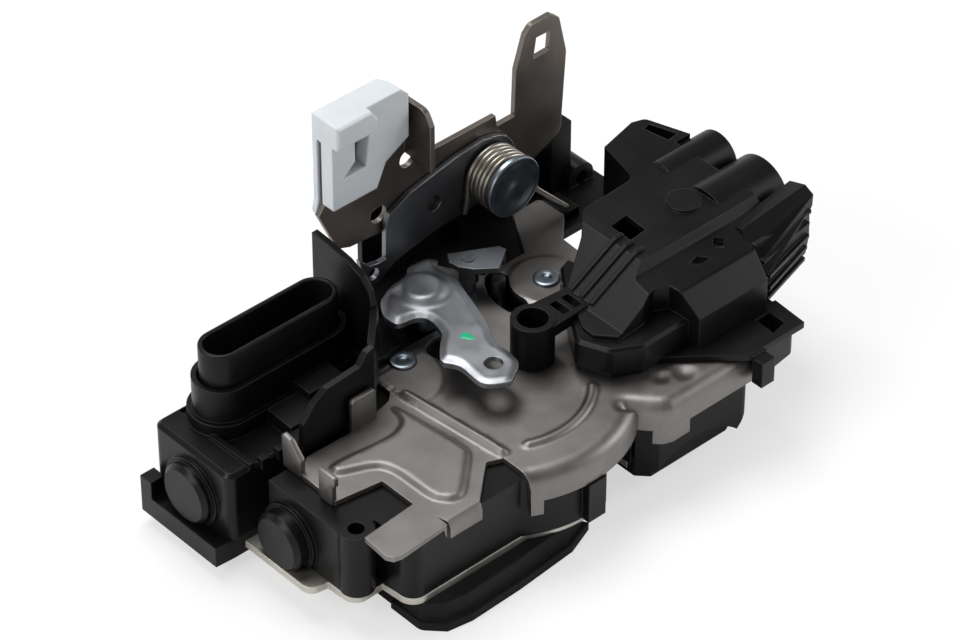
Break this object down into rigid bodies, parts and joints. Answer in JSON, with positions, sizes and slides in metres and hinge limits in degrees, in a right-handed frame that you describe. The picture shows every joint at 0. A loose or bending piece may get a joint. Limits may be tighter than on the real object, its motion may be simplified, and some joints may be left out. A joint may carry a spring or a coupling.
{
  "type": "door latch actuator",
  "caption": "Door latch with claw and pawl behind a striker slot, a plug tower, a set of sheet levers on a sprung pin and a covered motor drive.",
  "frame": {"origin": "centre of the left screw hole in the face plate, at the plate's outer face", "axes": "+X along the latch from the plug tower to the motor, +Y from the striker slot's mouth to its end, +Z from the face plate to the levers"},
  "size_m": [0.1686, 0.094, 0.0932],
  "materials": {
    "pressed_steel_face": "zinc plated, satin",
    "seal_rubber": "moulded foam rubber, matte",
    "black_moulded_plastic": "satin, fine spark-eroded grain",
    "zinc_plated_steel": "zinc plated sheet, satin",
    "bright_zinc_rivet": "bright zinc, turned",
    "tinned_brass": "tinned, bright",
    "board_laminate": "solder mask, satin",
    "natural_acetal": "milky, slightly translucent",
    "spring_steel_wire": "drawn wire, bright",
    "bare_rolled_steel": "rolled sheet, satin, slightly warm",
    "bright_zinc_lever": "bright zinc, pressed",
    "hardened_steel": "hardened, tumbled",
    "claw_skin_plastic": "overmoulded, satin",
    "motor_can_steel": "drawn can, zinc plated"
  },
  "bodies": {
    "latch_body": {"actuator_base": "black_moulded_plastic", "actuator_cover": "black_moulded_plastic", "back_plate": "zinc_plated_steel", "circuit_board": "board_laminate", "claw_pivot": "bright_zinc_rivet", "claw_spring": "spring_steel_wire", "connector_cover": "black_moulded_plastic", "connector_housing": "black_moulded_plastic", "connector_shroud": "black_moulded_plastic", "face_plate": "pressed_steel_face", "latch_housing": "black_moulded_plastic", "lever_pin": "bright_zinc_rivet", "link_pivot": "bright_zinc_rivet", "lower_base": "black_moulded_plastic", "motor_can": "motor_can_steel", "motor_shell": "black_moulded_plastic", "pawl_pivot": "bright_zinc_rivet", "pawl_spring": "spring_steel_wire", "rear_bracket": "black_moulded_plastic", "release_pivot": "bright_zinc_rivet", "seal_frame": "seal_rubber", "spring_bush": "natural_acetal", "terminal_pins": "tinned_brass", "torsion_spring": "spring_steel_wire", "wheel_axle": "bright_zinc_rivet"},
    "claw_body": {"claw": "hardened_steel", "claw_cover": "claw_skin_plastic"},
    "pawl_body": {"pawl": "hardened_steel"},
    "handle_lever_body": {"handle_lever": "bare_rolled_steel", "rod_clip": "natural_acetal"},
    "transfer_lever_body": {"transfer_lever": "zinc_plated_steel"},
    "release_lever_body": {"release_lever": "bright_zinc_lever"},
    "link_lever_body": {"link_lever": "zinc_plated_steel"},
    "worm_body": {"worm_shaft": "hardened_steel"},
    "worm_wheel_body": {"worm_wheel": "natural_acetal"}
  },
  "joints": [
    {"name": "claw_turn", "type": "hinge", "parent": "latch_body", "child": "claw_body", "pos_m": [0.03, 0.02, 0.0075], "axis": [0, 0, 1], "range_deg": [0, 55], "stiffness_Nm_per_rad": 0.02, "springref_deg": -22.92},
    {"name": "pawl_turn", "type": "hinge", "parent": "latch_body", "child": "pawl_body", "pos_m": [0.0783, 0.02, 0.0075], "axis": [0, 0, 1], "range_deg": [0, 7]},
    {"name": "handle_lever_turn", "type": "hinge", "parent": "latch_body", "child": "handle_lever_body", "pos_m": [0.0794, 0.045, 0.0436], "axis": [0, 1, 0], "range_deg": [0, 10], "stiffness_Nm_per_rad": 0.1, "springref_deg": -11.46},
    {"name": "transfer_lever_turn", "type": "hinge", "parent": "latch_body", "child": "transfer_lever_body", "pos_m": [0.0794, 0.044, 0.0436], "axis": [0, 1, 0], "range_deg": [0, 10]},
    {"name": "release_lever_turn", "type": "hinge", "parent": "latch_body", "child": "release_lever_body", "pos_m": [0.0445, 0.029, 0.031], "axis": [0, 0, 1], "range_deg": [-6, 0]},
    {"name": "link_lever_turn", "type": "hinge", "parent": "latch_body", "child": "link_lever_body", "pos_m": [0.0616, 0.031, 0.031], "axis": [0, 0, 1], "range_deg": [0, 8]},
    {"name": "worm_spin", "type": "hinge", "parent": "latch_body", "child": "worm_body", "pos_m": [0.1004, 0, 0.034], "axis": [1, 0, 0], "continuous": true},
    {"name": "worm_wheel_spin", "type": "hinge", "parent": "latch_body", "child": "worm_wheel_body", "pos_m": [0.1004, -0.0118, 0.034], "axis": [0, 0, 1], "continuous": true}
  ],
  "couplings": [
    {"joint": "transfer_lever_turn", "follows": "handle_lever_turn", "ratio": 1},
    {"joint": "worm_wheel_spin", "follows": "worm_spin", "ratio": 0.03125}
  ]
}
